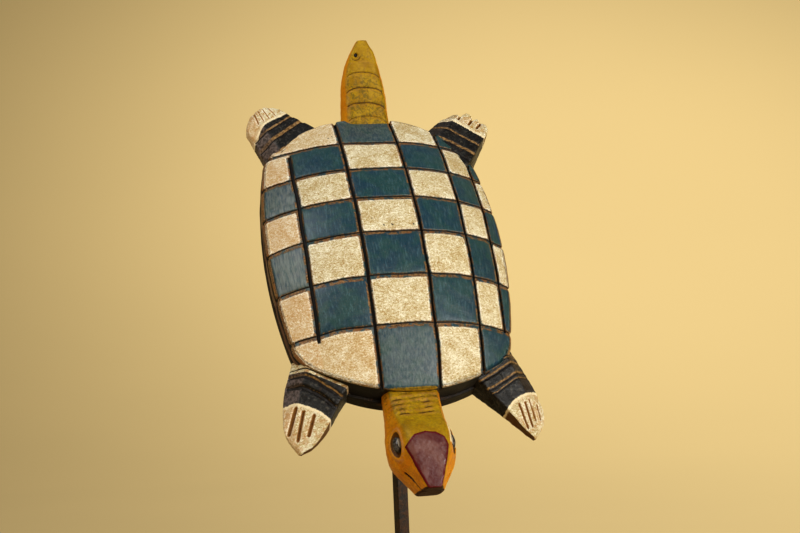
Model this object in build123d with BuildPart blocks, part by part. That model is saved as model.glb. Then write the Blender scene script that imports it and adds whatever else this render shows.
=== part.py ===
from build123d import *
import math
import os

# A carved and painted wooden turtle, shown head down on a square iron bar.
# Row frame: +Z up, origin on the bar's axis at the underside of the base.
# Turtle frame: x across the back, y from the head towards the tail, z out of the back,
# with its origin on the back's highest point.

# Posture
BACK_LEAN = 32.0  # degrees between the back and the vertical, nose towards the front
CROWN_HEIGHT = 366.0  # height of the back's highest point over the ground
CROWN_SETBACK = -15.0  # y of the same point, in front of the bar's axis

# Shell
SHELL_HALF_WIDTH = 105.4
SHELL_TAIL_Y = 141.0
SHELL_NECK_Y = -143.0
# Where the side arcs and the end arcs would meet, before the corners are rounded
TAIL_CORNERS = ((-94.0, 104.0), (94.0, 104.0))
NECK_CORNERS = ((-93.0, -103.0), (93.0, -110.0))
SHELL_CORNER_RADIUS = 32.0
SHELL_DEPTH = 64.0  # from the crown to the belly
BOARD_THICKNESS = 14.0
BOARD_LIP = 3.0  # how far the belly board stands out under the neck
BOARD_EDGE_RADIUS = 3.0
TRIM_MARGIN = 10.0  # how far the cutters run on past what they cut
DOME_PATCH = (130, 190, 20)  # half width, half length and spacing of the dome's points
SIDE_FALL = 33.6  # drop of the back at half width
SIDE_POWER = 2.55
END_FALL = 35.4  # drop of the back END_REACH away from the crown line
END_REACH = 150.0
CROWN_LINE_Y = -6.4

# Grooves that part the tiles of the back
LONG_GROOVES = (-74.7, -27.6, 25.2, 66.7, 91.9)  # x at mid length
LONG_GROOVE_CLOSING = 0.046  # how much they close in towards both ends
CROSS_GROOVES = (103.8, 68.3, 33.1, -3.9, -46.1, -89.4)  # y
LONG_GROOVE_WIDTH = 3.6
LONG_GROOVE_DEPTH = 4.0
CROSS_GROOVE_WIDTH = 2.2
CROSS_GROOVE_DEPTH = 1.6

# Joinery
TENON_THICKNESS = 9.0
TENON_LAP = 6.0  # how far a tenon's block runs on into its limb
PEG_RADIUS = 3.0
PEG_TOP = -36.5
DOWEL_PLACES = [(-62, 62), (62, 62), (-58, -50), (58, -50)]
DOWEL_TOP = -38.0

# Head: sections from the neck to the snout, each a y with the top's half width and
# height, the cheeks' half width and height, and the underside's half width and height
HEAD_SECTIONS = [
    (-136, 20, -34, 25, -43, 22, -60),
    (-165, 19, -27, 26, -43, 23, -61),
    (-191, 17, -12, 30, -40, 25, -61),
    (-206, 16, -14, 27, -41, 22, -60),
    (-221, 12, -17, 16.5, -42, 13.5, -58),
    (-235, 7, -20, 8.5, -40, 6, -54),
]
NECK_TENON = (30.0, 40.0)  # width and length
SNOUT_TOP = (-237.0, -18.0)  # y and height of the ends of the snout's sloping front
SNOUT_CHIN = (-227.0, -56.0)
MOUTH_CORNER_Y = -214.0
MOUTH_HEIGHT = -35.5
MOUTH_GAP = 1.6
MOUTH_CUT = (80, 40)  # width and length of the cutter
EYE_PLACE = (24.0, -193.0, -27.0)
EYE_SLOPE = 65.0  # degrees between the eye's face and the back's plane
EYE_LONG = 8.0  # half axes of the oval stud
EYE_SHORT = 5.0
EYE_SINK = 5.0
EYE_STAND = 1.0
EYE_EDGE_RADIUS = 1.4
EYE_SOCKET_RIM = 3.0  # width of the hollow carved round the stud
EYE_SOCKET_DEPTH = 1.5

# Tail: y, centre x, the ridge's half width and height, the flanks' half width, the
# underside's height
TAIL_SECTIONS = [
    (134, 3.6, 18.5, -30, 23.2, -57),
    (160, 3.6, 17.2, -20, 21.8, -48),
    (180, 2.9, 14, -10, 19.2, -37),
    (195, 3.4, 9.5, -2, 13, -26),
    (204, 3.6, 4, 2, 6.5, -13),
]
TAIL_TENON = (22.0, 32.0)

# Legs: the root and the foot tip, both as (x, y), and stations along the limb. Each station
# has its distance from the root, and how far the limb reaches inwards and outwards there.
LEGS = {
    "leg_front_right": (
        (-73, -115),
        (-96.4, -180),
        [(0, 31, 25.5), (20, 24.5, 25.3), (40, 19, 21.8), (55, 13, 16.5), (64, 7.5, 8.5), (69, 2, 2)],
    ),
    "leg_front_left": (
        (77, -116),
        (103, -181),
        [(0, 29, 25.5), (20, 20.5, 25.5), (40, 12, 24), (55, 6.5, 20), (64, 3, 13), (70, 0, 3)],
    ),
    "leg_rear_right": (
        (-67, 116),
        (-89, 159),
        [(0, 35, 27.5), (16, 27, 25.2), (31, 18.5, 23), (42, 12, 20.5), (49, 4, 12)],
    ),
    "leg_rear_left": (
        (77, 109),
        (103.7, 144.6),
        [(0, 28, 29), (22, 24.5, 25), (33, 23, 20.5), (40, 21, 17), (44.5, 15, 10)],
    ),
}
# Heights of the inner edge, the ridge, the outer edge and the sole at the root and the toes
FRONT_HEIGHTS = ((-36, -37, -52, -62), (-55, -55.5, -58, -61))
REAR_HEIGHTS = ((-35, -36, -50, -62), (-40, -39, -46, -58))
LEG_RIDGE = 0.5  # the ridge's place as a share of the outward reach
LEG_FLARE = 4.0  # how much further in the sole reaches than the top
LEG_INSIDE = 12.0  # how far a leg's blank reaches into the shell before it is cut to it
LEG_TENON = (22.0, 26.0)  # width and length
TOE_SLOTS = 3
TOE_SLOT_WIDTH = 2.2
TOE_SLOT_DEPTH = 3.0
TOE_SLOT_LENGTH = 22.0
TOE_SLOT_PITCH = 8.0

# Stand
BAR_SIDE = 10.0
BAR_CHAMFER = 0.8
BAR_TWIST = 12.0  # degrees, the bar isn't square to the turtle
TANG_RADIUS = 4.0
TANG_LENGTH = 60.0
TANG_CHAMFER = 1.0
TUBE_BORE_RADIUS = 4.06
TUBE_RADIUS = 6.0
TUBE_PROJECTION = 17.0  # below the point where its axis leaves the belly
TUBE_LENGTH = 80.0
WASHER_RADIUS = 8.0
WASHER_THICKNESS = 2.0
SLIDING_GAP = 0.05
BASE_WIDTH = 190.0
BASE_DEPTH = 160.0
BASE_HEIGHT = 38.5
BASE_EDGE_RADIUS = 2.5
FELT_THICKNESS = 1.5
FELT_INSET = 2.0
BAR_LET_IN = 10.0  # depth of the square mortise that keeps the bar from turning
RECESS_RADIUS = 13.0
RECESS_DEPTH = 14.0
SPIGOT_RADIUS = 4.0
SPIGOT_END = 2.0  # how far the spigot stands out of the nut
NUT_SIZE = 13.0  # across the flats
NUT_HEIGHT = 6.5
PLATE_WASHER_RADIUS = 12.0
PLATE_WASHER_THICKNESS = 1.6

# Worked out from the above
BOARD_TOP = BOARD_THICKNESS - SHELL_DEPTH
LEAN = math.radians(BACK_LEAN)
CROSSING_Z = CROWN_HEIGHT - (CROWN_SETBACK + SHELL_DEPTH / math.cos(LEAN)) / math.tan(LEAN)
TUBE_BOTTOM = CROSSING_Z - TUBE_PROJECTION
SHOULDER = TUBE_BOTTOM - WASHER_THICKNESS - 2 * SLIDING_GAP
BASE_TOP = FELT_THICKNESS + BASE_HEIGHT
RECESS_TOP = FELT_THICKNESS + RECESS_DEPTH

os.makedirs("parts", exist_ok=True)

turtle = Plane(
    origin=(0, CROWN_SETBACK, CROWN_HEIGHT),
    x_dir=(1, 0, 0),
    z_dir=(0, -math.cos(LEAN), math.sin(LEAN)),
)
belly = turtle.offset(-SHELL_DEPTH)
seam = turtle.offset(BOARD_TOP)
bar_plane = Plane.XY.rotated((0, 0, BAR_TWIST))


def place(x, y, z):
    """A point of the turtle frame in the row frame."""
    return turtle.from_local_coords(Vector(x, y, z))


def direction(x, y, z):
    """A direction of the turtle frame in the row frame."""
    return place(x, y, z) - place(0, 0, 0)


def back_height(x, y):
    """The back's height: a dome that falls to the sides and to both ends."""
    side = SIDE_FALL * abs(x / SHELL_HALF_WIDTH) ** SIDE_POWER
    end = END_FALL * ((y - CROWN_LINE_Y) / END_REACH) ** 2
    return -side - end


def back_surface(sink):
    """The dome as a face wider than the shell, lowered by sink."""
    half_width, half_length, spacing = DOME_PATCH
    xs = range(-half_width, half_width + 1, spacing)
    ys = range(-half_length, half_length + 1, spacing)
    rows = [[place(x, y, back_height(x, y) - sink) for y in ys] for x in xs]
    return Face.make_surface_from_array_of_points(rows)


def export(builder, label):
    builder.part.label = label
    export_step(builder.part, f"parts/{label}.step")


# ---- Tenons and pegs: one for each limb, all lying on the belly board ----


def tenon_plane(root, tip):
    """The seam's plane turned so that x runs out along the limb from its root."""
    along = direction(tip[0] - root[0], tip[1] - root[1], 0)
    return Plane(origin=place(root[0], root[1], BOARD_TOP), x_dir=along, z_dir=turtle.z_dir)


tenons = {
    "head": (tenon_plane((0, SHELL_NECK_Y), (0, SHELL_NECK_Y - 1)), *NECK_TENON),
    "tail": (tenon_plane((0, SHELL_TAIL_Y), (0, SHELL_TAIL_Y + 1)), *TAIL_TENON),
}
for name, leg in LEGS.items():
    tenons[name] = (tenon_plane(leg[0], leg[1]), *LEG_TENON)

tenon_blocks = {}
for name, (plane, width, length) in tenons.items():
    with BuildPart() as tenon:
        with BuildSketch(plane):
            with Locations((TENON_LAP, 0)):
                Rectangle(length + TENON_LAP, width, align=(Align.MAX, Align.CENTER))
        extrude(amount=TENON_THICKNESS)
    tenon_blocks[name] = tenon.part


def peg_part(names):
    """The pegs of the named limbs, from the belly up through their tenons."""
    with BuildPart() as pegs:
        for name in names:
            plane, width, length = tenons[name]
            foot = plane.offset(-BOARD_THICKNESS)
            with BuildSketch(foot):
                with Locations((-length / 2, 0)):
                    Circle(PEG_RADIUS)
            extrude(amount=SHELL_DEPTH + PEG_TOP)
    return pegs


neck_peg = peg_part(["head"])
tail_peg = peg_part(["tail"])
leg_pegs = peg_part(list(LEGS))
with BuildPart() as board_dowels:
    with BuildSketch(belly):
        with Locations(*DOWEL_PLACES):
            Circle(PEG_RADIUS)
    extrude(amount=SHELL_DEPTH + DOWEL_TOP)

export(neck_peg, "neck_peg")
export(tail_peg, "tail_peg")
export(leg_pegs, "leg_pegs")
export(board_dowels, "board_dowels")
all_pegs = [neck_peg.part, tail_peg.part, leg_pegs.part, board_dowels.part]

# ---- Socket tube: the metal liner of the upright hole that takes the bar's tang ----

with BuildPart() as tube_hole:
    with BuildSketch(Plane.XY.offset(TUBE_BOTTOM)):
        Circle(TUBE_RADIUS)
    extrude(amount=TUBE_LENGTH)

with BuildPart() as socket_tube:
    with BuildSketch(Plane.XY.offset(TUBE_BOTTOM)):
        Circle(TUBE_RADIUS)
        Circle(TUBE_BORE_RADIUS, mode=Mode.SUBTRACT)
    extrude(amount=TUBE_LENGTH)
export(socket_tube, "socket_tube")

# ---- Shell ----


def shell_outline(neck_y):
    """The shell's plan of four arcs and four round corners, with its neck end at neck_y."""
    (tail_right, tail_left), (neck_right, neck_left) = TAIL_CORNERS, NECK_CORNERS
    with BuildSketch() as outline:
        with BuildLine():
            ThreePointArc(tail_right, (0, SHELL_TAIL_Y), tail_left)
            ThreePointArc(tail_left, (SHELL_HALF_WIDTH, 0), neck_left)
            ThreePointArc(neck_left, (0, neck_y), neck_right)
            ThreePointArc(neck_right, (-SHELL_HALF_WIDTH, 0), tail_right)
        make_face()
        fillet(outline.vertices(), SHELL_CORNER_RADIUS)
    return outline.sketch


shell_plan = shell_outline(SHELL_NECK_Y)
board_plan = shell_outline(SHELL_NECK_Y - BOARD_LIP)

with BuildPart() as long_groove_cutter:
    with BuildSketch(seam):
        for x in LONG_GROOVES:
            end_x = x * (1 - LONG_GROOVE_CLOSING)
            short = x == LONG_GROOVES[0]
            neck_y = CROSS_GROOVES[-1] if short else SHELL_NECK_Y - TRIM_MARGIN
            tail_y = CROSS_GROOVES[0] if short else SHELL_TAIL_Y + TRIM_MARGIN
            with BuildLine():
                ThreePointArc((end_x, neck_y), (x, 0), (end_x, tail_y))
            trace(line_width=LONG_GROOVE_WIDTH)
    extrude(amount=-BOARD_TOP)
    split(bisect_by=back_surface(LONG_GROOVE_DEPTH), keep=Keep.TOP)

with BuildPart() as cross_groove_cutter:
    with BuildSketch(seam):
        for y in CROSS_GROOVES:
            with Locations((0, y)):
                Rectangle(2 * (SHELL_HALF_WIDTH + TRIM_MARGIN), CROSS_GROOVE_WIDTH)
    extrude(amount=-BOARD_TOP)
    split(bisect_by=back_surface(CROSS_GROOVE_DEPTH), keep=Keep.TOP)

with BuildPart() as carapace:
    with BuildSketch(seam):
        add(shell_plan)
    extrude(amount=-BOARD_TOP)
    split(bisect_by=back_surface(0), keep=Keep.BOTTOM)
    add(long_groove_cutter.part, mode=Mode.SUBTRACT)
    add(cross_groove_cutter.part, mode=Mode.SUBTRACT)
    for block in tenon_blocks.values():
        add(block, mode=Mode.SUBTRACT)
    for pegs in all_pegs:
        add(pegs, mode=Mode.SUBTRACT)
    add(tube_hole.part, mode=Mode.SUBTRACT)
export(carapace, "carapace")

with BuildPart() as belly_board:
    with BuildSketch(belly):
        add(board_plan)
    extrude(amount=BOARD_THICKNESS)
    outward = Axis((0, 0, 0), turtle.z_dir)
    fillet(belly_board.faces().sort_by(outward)[0].edges(), BOARD_EDGE_RADIUS)
    for pegs in all_pegs:
        add(pegs, mode=Mode.SUBTRACT)
    add(tube_hole.part, mode=Mode.SUBTRACT)
export(belly_board, "belly_board")

# The shell's whole thickness as one block, which trims the limbs where they meet it
with BuildPart() as shell_block:
    with BuildSketch(seam):
        add(shell_plan)
    extrude(amount=SHELL_DEPTH)
    with BuildSketch(belly.offset(-TRIM_MARGIN)):
        add(board_plan)
    extrude(amount=BOARD_THICKNESS + TRIM_MARGIN)

# ---- Head ----


def cross_plane(y):
    """A plane across the turtle at y, with x to its left side and y out of the back."""
    return Plane(origin=place(0, y, 0), x_dir=(1, 0, 0), z_dir=direction(0, -1, 0))


def eye_plane(side):
    """The plane of an eye's face, with x along the head."""
    slope = math.radians(EYE_SLOPE)
    x, y, z = EYE_PLACE
    outward = direction(side * math.sin(slope), 0, math.cos(slope))
    return Plane(origin=place(side * x, y, z), x_dir=direction(0, -1, 0), z_dir=outward)


(top_y, top_z), (chin_y, chin_z) = SNOUT_TOP, SNOUT_CHIN
snout_front = Plane(
    origin=place(0, top_y, top_z),
    x_dir=(1, 0, 0),
    z_dir=direction(0, top_z - chin_z, chin_y - top_y) * -1,
)

with BuildPart() as head:
    for y, top_x, top, cheek_x, cheek, under_x, under in HEAD_SECTIONS:
        with BuildSketch(cross_plane(y)):
            Polygon(
                (-top_x, top),
                (top_x, top),
                (cheek_x, cheek),
                (under_x, under),
                (-under_x, under),
                (-cheek_x, cheek),
                align=None,
            )
    loft(ruled=True)
    add(shell_block.part, mode=Mode.SUBTRACT)
    add(tenon_blocks["head"])
    add(neck_peg.part, mode=Mode.SUBTRACT)
    split(bisect_by=snout_front, keep=Keep.BOTTOM)
    with BuildSketch(turtle.offset(MOUTH_HEIGHT)):
        with Locations((0, MOUTH_CORNER_Y)):
            Rectangle(*MOUTH_CUT, align=(Align.CENTER, Align.MAX))
    extrude(amount=MOUTH_GAP, mode=Mode.SUBTRACT)
    for side in (-1, 1):
        with BuildSketch(eye_plane(side).offset(-EYE_SOCKET_DEPTH)):
            Ellipse(EYE_LONG + EYE_SOCKET_RIM, EYE_SHORT + EYE_SOCKET_RIM)
        extrude(amount=TRIM_MARGIN, mode=Mode.SUBTRACT)
        with BuildSketch(eye_plane(side).offset(-EYE_SINK)):
            Ellipse(EYE_LONG, EYE_SHORT)
        extrude(amount=EYE_SINK, mode=Mode.SUBTRACT)
export(head, "head")

for side, name in ((-1, "eye_right"), (1, "eye_left")):
    with BuildPart() as eye:
        with BuildSketch(eye_plane(side).offset(-EYE_SINK)):
            Ellipse(EYE_LONG, EYE_SHORT)
        extrude(amount=EYE_SINK + EYE_STAND)
        outward = Axis((0, 0, 0), eye_plane(side).z_dir)
        fillet(eye.faces().sort_by(outward)[-1].edges(), EYE_EDGE_RADIUS)
    export(eye, name)

# ---- Tail ----

with BuildPart() as tail:
    for y, centre_x, top_x, top, flank_x, flank in TAIL_SECTIONS:
        with BuildSketch(cross_plane(y)):
            Polygon(
                (centre_x - top_x, top),
                (centre_x + top_x, top),
                (centre_x + flank_x, (top + flank) / 2),
                (centre_x + top_x, flank),
                (centre_x - top_x, flank),
                (centre_x - flank_x, (top + flank) / 2),
                align=None,
            )
    loft(ruled=True)
    add(shell_block.part, mode=Mode.SUBTRACT)
    add(tenon_blocks["tail"])
    add(tail_peg.part, mode=Mode.SUBTRACT)
export(tail, "tail")

# ---- Legs ----


def limb_height(heights, share, corner):
    """The height of a corner of the limb's section, share of the way from root to toes."""
    root_height = heights[0][corner]
    return root_height + (heights[1][corner] - root_height) * share


for name, (root, tip, stations) in LEGS.items():
    flat = tenons[name][0]
    outer = 1 if flat.y_dir.X * root[0] > 0 else -1
    heights = FRONT_HEIGHTS if "front" in name else REAR_HEIGHTS
    length = stations[-1][0]
    toe_middle = (stations[-3][2] - stations[-3][1]) / 2
    toe_slope = flat.x_dir * length + flat.z_dir * (heights[1][0] - heights[0][0])
    toe_plane = Plane(
        origin=flat.from_local_coords(Vector(length, 0, heights[1][0] - BOARD_TOP)),
        x_dir=toe_slope,
        z_dir=toe_slope.cross(flat.y_dir),
    )
    blank = [(-LEG_INSIDE, *stations[0][1:])] + stations
    with BuildPart() as limb:
        for along, reach_in, reach_out in blank:
            share = max(along, 0) / length
            inner_top, ridge, outer_edge, sole = (
                limb_height(heights, share, corner) - BOARD_TOP for corner in range(4)
            )
            flare = LEG_FLARE * (1 - share)
            section = Plane(
                origin=flat.from_local_coords(Vector(along, 0, 0)),
                x_dir=flat.y_dir * outer,
                z_dir=flat.x_dir * outer,
            )
            with BuildSketch(section):
                Polygon(
                    (flare - reach_in, inner_top),
                    (LEG_RIDGE * reach_out, ridge),
                    (reach_out, outer_edge),
                    (reach_out - 0.5 * flare, sole),
                    (-reach_in, sole),
                    align=None,
                )
        loft(ruled=True)
        with BuildSketch(toe_plane.offset(-TOE_SLOT_DEPTH)):
            with Locations((0, outer * toe_middle)):
                with GridLocations(0, TOE_SLOT_PITCH, 1, TOE_SLOTS):
                    Rectangle(2 * TOE_SLOT_LENGTH, TOE_SLOT_WIDTH)
        extrude(amount=TRIM_MARGIN, mode=Mode.SUBTRACT)
        add(shell_block.part, mode=Mode.SUBTRACT)
        add(tenon_blocks[name])
        add(leg_pegs.part, mode=Mode.SUBTRACT)
    export(limb, name)

# ---- Thrust washer between the bar's shoulder and the socket tube ----

with BuildPart() as thrust_washer:
    with BuildSketch(Plane.XY.offset(SHOULDER + SLIDING_GAP)):
        Circle(WASHER_RADIUS)
        Circle(TUBE_BORE_RADIUS, mode=Mode.SUBTRACT)
    extrude(amount=WASHER_THICKNESS)
export(thrust_washer, "thrust_washer")

# ---- Stand ----

with BuildPart() as stand_bar:
    with BuildSketch(bar_plane.offset(BASE_TOP - BAR_LET_IN)):
        Rectangle(BAR_SIDE, BAR_SIDE)
        chamfer(vertices(), BAR_CHAMFER)
    extrude(amount=SHOULDER - BASE_TOP + BAR_LET_IN)
    with BuildSketch(Plane.XY.offset(SHOULDER)):
        Circle(TANG_RADIUS)
    extrude(amount=TANG_LENGTH)
    chamfer(stand_bar.faces().sort_by(Axis.Z)[-1].edges(), TANG_CHAMFER)
    with BuildSketch(Plane.XY.offset(RECESS_TOP - PLATE_WASHER_THICKNESS - NUT_HEIGHT - SPIGOT_END)):
        Circle(SPIGOT_RADIUS)
    extrude(until=Until.NEXT)
export(stand_bar, "stand_bar")

with BuildPart() as base_block:
    with BuildSketch(Plane.XY.offset(FELT_THICKNESS)):
        Rectangle(BASE_WIDTH, BASE_DEPTH)
    extrude(amount=BASE_HEIGHT)
    fillet(base_block.edges().filter_by(Axis.Z), 2 * BASE_EDGE_RADIUS)
    fillet(base_block.faces().sort_by(Axis.Z)[-1].edges(), BASE_EDGE_RADIUS)
    with BuildSketch(Plane.XY.offset(FELT_THICKNESS)):
        Circle(RECESS_RADIUS)
    extrude(amount=RECESS_DEPTH, mode=Mode.SUBTRACT)
    with BuildSketch(Plane.XY.offset(RECESS_TOP)):
        Circle(SPIGOT_RADIUS)
    extrude(amount=BASE_HEIGHT, mode=Mode.SUBTRACT)
    with BuildSketch(bar_plane.offset(BASE_TOP - BAR_LET_IN)):
        Rectangle(BAR_SIDE, BAR_SIDE)
        chamfer(vertices(), BAR_CHAMFER)
    extrude(amount=BAR_LET_IN, mode=Mode.SUBTRACT)
export(base_block, "base_block")

with BuildPart() as plate_washer:
    with BuildSketch(Plane.XY.offset(RECESS_TOP - PLATE_WASHER_THICKNESS)):
        Circle(PLATE_WASHER_RADIUS)
        Circle(SPIGOT_RADIUS, mode=Mode.SUBTRACT)
    extrude(amount=PLATE_WASHER_THICKNESS)
export(plate_washer, "plate_washer")

with BuildPart() as clamp_nut:
    with BuildSketch(Plane.XY.offset(RECESS_TOP - PLATE_WASHER_THICKNESS - NUT_HEIGHT)):
        RegularPolygon(NUT_SIZE / 2, 6, major_radius=False)
        Circle(SPIGOT_RADIUS, mode=Mode.SUBTRACT)
    extrude(amount=NUT_HEIGHT)
export(clamp_nut, "clamp_nut")

with BuildPart() as base_felt:
    with BuildSketch():
        Rectangle(BASE_WIDTH - 2 * FELT_INSET, BASE_DEPTH - 2 * FELT_INSET)
        fillet(vertices(), BASE_EDGE_RADIUS)
    extrude(amount=FELT_THICKNESS)
export(base_felt, "base_felt")
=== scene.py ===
# A carved and painted wooden turtle, shown head down on a square iron bar.
# The stand, the pegs and the metal pieces are the frame's own nodes. The carved pieces are rebuilt
# here in the turtle's frame: x across the back, y from the head to the tail, z out of the back,
# with the origin on the back's highest point. Lengths are millimetres until a mesh is made.
import math

import bpy
import numpy as np
from mathutils import Matrix, Vector
from mathutils.geometry import convex_hull_2d


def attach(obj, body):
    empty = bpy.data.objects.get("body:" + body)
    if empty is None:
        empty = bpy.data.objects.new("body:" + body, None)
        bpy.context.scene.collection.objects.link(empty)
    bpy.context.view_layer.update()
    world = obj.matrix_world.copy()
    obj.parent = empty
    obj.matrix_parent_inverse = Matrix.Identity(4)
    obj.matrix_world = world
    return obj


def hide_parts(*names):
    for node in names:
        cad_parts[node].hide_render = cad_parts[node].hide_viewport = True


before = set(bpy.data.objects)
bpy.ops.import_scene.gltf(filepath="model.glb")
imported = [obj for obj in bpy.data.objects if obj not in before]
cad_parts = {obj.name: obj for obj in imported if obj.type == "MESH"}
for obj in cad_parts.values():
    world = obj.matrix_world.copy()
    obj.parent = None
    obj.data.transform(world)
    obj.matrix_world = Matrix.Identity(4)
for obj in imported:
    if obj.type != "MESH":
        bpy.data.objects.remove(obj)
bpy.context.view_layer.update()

scene = bpy.context.scene

MM = 0.001
BACK_LEAN = math.radians(32)
SHELL_TAIL_Y = 141.0
CROWN_LINE_Y = -6.4

# Dome of the back
SHELL_HALF_WIDTH = 105.4
SIDE_FALL = 33.6
SIDE_POWER = 2.55
END_FALL = 35.4
END_REACH = 150.0

# Grooves between the tiles, as in the frame's carapace
LONG_GROOVES = (-74.7, -27.6, 25.2, 66.7, 91.9)
CROSS_GROOVES = (103.8, 68.3, 33.1, -3.9, -46.1, -89.4)
LONG_CLOSING = 0.046
NECK_EDGE = -143.0  # y of the back's neck end
CLOSING_REACH = 145.0
SEAM_Z = -50.0
BELLY_Z = -63.7  # a little above the pegs' ends, which stand proud of the worn belly

# ---- The turtle's frame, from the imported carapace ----


def node_points(node):
    """A CAD node's vertices in the row frame, in millimetres."""
    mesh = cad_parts[node].data
    flat = np.empty(3 * len(mesh.vertices))
    mesh.vertices.foreach_get("co", flat)
    return flat.reshape(-1, 3) / MM


lean_cos, lean_sin = math.cos(BACK_LEAN), math.sin(BACK_LEAN)
AXES = np.array([[1, 0, 0], [0, lean_sin, lean_cos], [0, -lean_cos, lean_sin]])
carapace_reach = (node_points("carapace") @ AXES.T).max(0)
ORIGIN = AXES.T @ np.array([0, carapace_reach[1] - SHELL_TAIL_Y, carapace_reach[2]])


def turtle_points(node):
    return (node_points(node) - ORIGIN) @ AXES.T


# ---- Curves, sections and meshes ----


def smooth_through(x, stations):
    """Values at x on curves through the stations, rows of x and one or more values, without overshoot."""
    table = np.array(stations, float)
    xs, ys = table[:, 0], table[:, 1:]
    slope = np.diff(ys, axis=0) / np.diff(xs)[:, None]
    tangent = np.vstack([slope[:1], (slope[1:] + slope[:-1]) / 2, slope[-1:]])
    tangent[1:-1][slope[1:] * slope[:-1] <= 0] = 0
    x = np.clip(x, xs[0], xs[-1])
    i = np.clip(np.searchsorted(xs, x) - 1, 0, len(xs) - 2)
    step = (xs[i + 1] - xs[i])[:, None]
    t = (x - xs[i])[:, None] / step
    rise, ease = t * t * (3 - 2 * t), t * (1 - t)
    bend = ease * ((1 - t) * tangent[i] - t * tangent[i + 1]) * step
    return ys[i] + rise * (ys[i + 1] - ys[i]) + bend


def ramp(value, low, high):
    """0 at low, 1 at high, and smooth between them."""
    t = np.clip((value - low) / (high - low), 0, 1)
    return t * t * (3 - 2 * t)


def hill(value, middle, half_width):
    """1 at the middle, 0 from half_width away."""
    return 1 - ramp(np.abs(value - middle), 0, half_width)


def wobble(points, size, seed):
    """Smooth noise of about -1 to 1, with waves about size millimetres long."""
    draw = np.random.default_rng(seed)
    total = np.zeros(points.shape[:-1])
    for _ in range(7):
        way = draw.normal(size=points.shape[-1])
        way *= 2 * math.pi / size * draw.uniform(0.6, 1.5) / np.linalg.norm(way)
        total += np.sin(points @ way + draw.uniform(0, 6.3))
    return total / 3


def ring_faces(rings, around):
    """Quads between successive closed rings of points."""
    first = np.arange(rings - 1)[:, None] * around
    here = np.arange(around)
    a, b = first + here, first + (here + 1) % around
    return np.stack([a, b, b + around, a + around], -1).reshape(-1, 4).tolist()


def fan_faces(first, around, middle):
    """Triangles from a closed ring of points to a middle point."""
    return [(first + i, first + (i + 1) % around, middle) for i in range(around)]


def close_rings(rings, first, last):
    """Points and faces of a stack of rings, closed by a fan to a point at each end."""
    count, around = rings.shape[:2]
    points = np.concatenate([rings.reshape(-1, 3), [first, last]])
    faces = ring_faces(count, around)
    faces += [f[::-1] for f in fan_faces(0, around, len(points) - 2)]
    faces += fan_faces((count - 1) * around, around, len(points) - 1)
    return points, faces


def volume(points, faces):
    """Six times a closed mesh's volume, negative if its faces look inwards."""
    total = 0.0
    for sides in (3, 4):
        chosen = np.array([f for f in faces if len(f) == sides], int).reshape(-1, sides)
        for k in range(sides - 2):
            a, b, c = (points[chosen[:, j]] for j in (0, k + 1, k + 2))
            total += np.einsum("ij,ij->", a, np.cross(b, c))
    return total


def mesh_object(name, points, faces, material):
    """A smooth mesh in the scene, from points in metres."""
    mesh = bpy.data.meshes.new(name)
    mesh.from_pydata(points.tolist(), [], faces)
    mesh.shade_smooth()
    mesh.materials.append(material)
    return add_object(name, mesh)


def add_object(name, data):
    added = bpy.data.objects.new(name, data)
    scene.collection.objects.link(added)
    return added


def make_piece(name, points, faces, material, fields, nodes):
    """A closed mesh that rides on the turtle, from points in its frame and fields of values per point."""
    if volume(points, faces) < 0:
        faces = [f[::-1] for f in faces]
    piece = mesh_object(name, (points @ AXES + ORIGIN) * MM, faces, material)
    for field, values in fields.items():
        attribute = piece.data.attributes.new(field, "FLOAT", "POINT")
        attribute.data.foreach_set("value", np.asarray(values, np.float32).ravel())
    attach(piece, "turtle")
    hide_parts(*nodes)
    return piece


def round_ring(ring, reach):
    """Rings of points with their corners rounded, by averaging each point with those within reach of it."""
    weights = np.exp(-0.5 * (np.arange(-3 * reach, 3 * reach + 1) / reach) ** 2)
    weights /= weights.sum()
    return sum(w * np.roll(ring, k, axis=1) for k, w in zip(range(-3 * reach, 3 * reach + 1), weights))


def join_corners(corners, per_side):
    """Rings of points along closed sections, from arrays (station, corner, 2)."""
    parts = []
    for k, count in enumerate(per_side):
        t = np.linspace(0, 1, count, endpoint=False)[None, :, None]
        start, end = corners[:, k, None], corners[:, (k + 1) % len(per_side), None]
        parts.append(start + (end - start) * t)
    return np.concatenate(parts, axis=1)


def outward_normals(rings):
    """Unit normals of a tube given as (station, point, 3)."""
    along = np.gradient(rings, axis=0)
    around = np.roll(rings, -1, axis=1) - np.roll(rings, 1, axis=1)
    normal = np.cross(along, around)
    normal /= np.linalg.norm(normal, axis=2, keepdims=True) + 1e-9
    out = rings - rings.mean(axis=1, keepdims=True)
    return normal * np.sign((normal * out).sum())


def close_tube(rings, fields, bulge):
    """A tube's points, faces and fields, with a rounded end past its last ring and a flat first end."""
    last, middle = rings[-1], rings[-1].mean(axis=0)
    ahead = last.mean(axis=0) - rings[-3].mean(axis=0)
    ahead /= np.linalg.norm(ahead)
    turns = np.linspace(0, math.pi / 2, 6)[1:-1]
    caps = [middle + (last - middle) * math.cos(t) + ahead * bulge * math.sin(t) for t in turns]
    tube = np.concatenate([rings, np.array(caps)])
    points, faces = close_rings(tube, rings[0].mean(axis=0), middle + ahead * bulge)
    grown = {}
    for name, values in fields.items():
        rows = [values] + [values[-1:]] * len(caps)
        grown[name] = np.concatenate([np.concatenate(rows).ravel(), [values[0].mean(), values[-1].mean()]])
    return points, faces, grown


# ---- Materials ----


def srgb(red, green, blue):
    """A colour given as it looks on a screen, 0 to 255, in the renderer's linear values."""
    share = np.array([red, green, blue]) / 255
    linear = np.where(share <= 0.04045, share / 12.92, ((share + 0.055) / 1.055) ** 2.4)
    return (*linear.tolist(), 1.0)


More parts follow.
